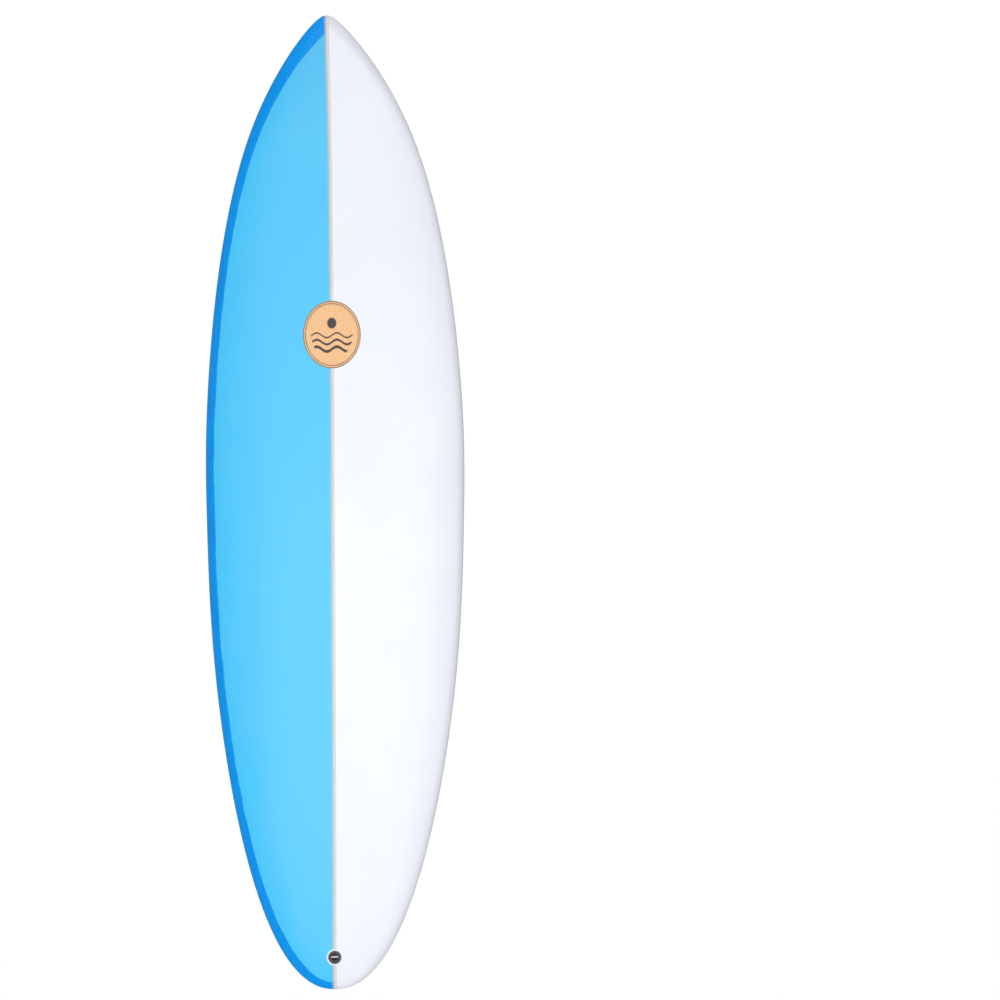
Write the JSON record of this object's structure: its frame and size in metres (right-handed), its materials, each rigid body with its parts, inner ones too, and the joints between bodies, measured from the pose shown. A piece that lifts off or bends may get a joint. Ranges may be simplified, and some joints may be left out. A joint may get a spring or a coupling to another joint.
{
  "type": "shortboard surfboard",
  "caption": "Shortboard surfboard with a pointed nose and rounded-pin tail, two-tone resin over foam halves and a wooden stringer, twin-tab fin plugs and a leash plug.",
  "frame": {"origin": "bottom centre of the board's box: the tail tip's height, in the middle of its width and depth", "axes": "+Z from the tail to the nose, the deck faces -Y, the bottom faces +Y, and the rider's left side (tinted half) is -X"},
  "size_m": [0.5276, 0.1325, 1.93],
  "materials": {
    "foam": "fine closed-cell foam, matte",
    "wood": "pale straight-grained wood, sanded",
    "glue": "thin tan glue line",
    "tinted_laminate": "sky-blue tinted resin and cloth, polished gloss",
    "clear_laminate": "clear resin over white foam, polished gloss",
    "tinted_lap": "doubled tinted cloth, deeper blue, polished gloss",
    "clear_lap": "doubled clear cloth, polished gloss",
    "deck_print": "tan printed rice paper under resin",
    "bottom_print": "tan printed rice paper under resin",
    "mark_print": "dark strokes printed on rice paper under resin",
    "cup_plastic": "moulded dark grey plastic",
    "bar_steel": "stainless steel bar",
    "resin_bed": "set resin, white",
    "plug_plastic": "frosted translucent white plastic",
    "socket_plastic": "moulded white plastic",
    "screw_steel": "dark stainless steel with a hexagon socket"
  },
  "bodies": {
    "board": {"foam_blank_left": "foam", "foam_blank_right": "foam", "stringer": "wood", "glue_line_left": "glue", "glue_line_right": "glue", "deck_laminate_left": "tinted_laminate", "bottom_laminate_left": "tinted_laminate", "deck_laminate_right": "clear_laminate", "bottom_laminate_right": "clear_laminate", "rail_lap_left": "tinted_lap", "rail_lap_right": "clear_lap", "deck_badge": "deck_print", "bottom_badge": "bottom_print", "bottom_mark": "mark_print", "leash_plug_cup": "cup_plastic", "leash_plug_bar": "bar_steel", "leash_plug_bed": "resin_bed", "fin_plug_left": "plug_plastic", "fin_plug_bed_left": "resin_bed", "fin_socket_left_front": "socket_plastic", "fin_socket_left_rear": "socket_plastic", "fin_plug_right": "plug_plastic", "fin_plug_bed_right": "resin_bed", "fin_socket_right_front": "socket_plastic", "fin_socket_right_rear": "socket_plastic", "fin_plug_centre": "plug_plastic", "fin_plug_bed_centre": "resin_bed", "fin_socket_centre_front": "socket_plastic", "fin_socket_centre_rear": "socket_plastic"},
    "screw_left_front": {"grub_screw_left_front": "screw_steel"},
    "screw_left_rear": {"grub_screw_left_rear": "screw_steel"},
    "screw_right_front": {"grub_screw_right_front": "screw_steel"},
    "screw_right_rear": {"grub_screw_right_rear": "screw_steel"},
    "screw_centre_front": {"grub_screw_centre_front": "screw_steel"},
    "screw_centre_rear": {"grub_screw_centre_rear": "screw_steel"}
  },
  "joints": [
    {"name": "grub_screw_left_front_advance", "type": "slide", "parent": "board", "child": "screw_left_front", "axis": [-0.5337, -0.8386, 0.1085], "range_m": [0, 0.003]},
    {"name": "grub_screw_left_rear_advance", "type": "slide", "parent": "board", "child": "screw_left_rear", "axis": [-0.5337, -0.8386, 0.1085], "range_m": [0, 0.003]},
    {"name": "grub_screw_right_front_advance", "type": "slide", "parent": "board", "child": "screw_right_front", "axis": [0.5337, -0.8386, 0.1085], "range_m": [0, 0.003]},
    {"name": "grub_screw_right_rear_advance", "type": "slide", "parent": "board", "child": "screw_right_rear", "axis": [0.5337, -0.8386, 0.1085], "range_m": [0, 0.003]},
    {"name": "grub_screw_centre_front_advance", "type": "slide", "parent": "board", "child": "screw_centre_front", "axis": [0.5736, -0.8133, 0.098], "range_m": [0, 0.003]},
    {"name": "grub_screw_centre_rear_advance", "type": "slide", "parent": "board", "child": "screw_centre_rear", "axis": [-0.5736, -0.8133, 0.098], "range_m": [0, 0.003]}
  ]
}
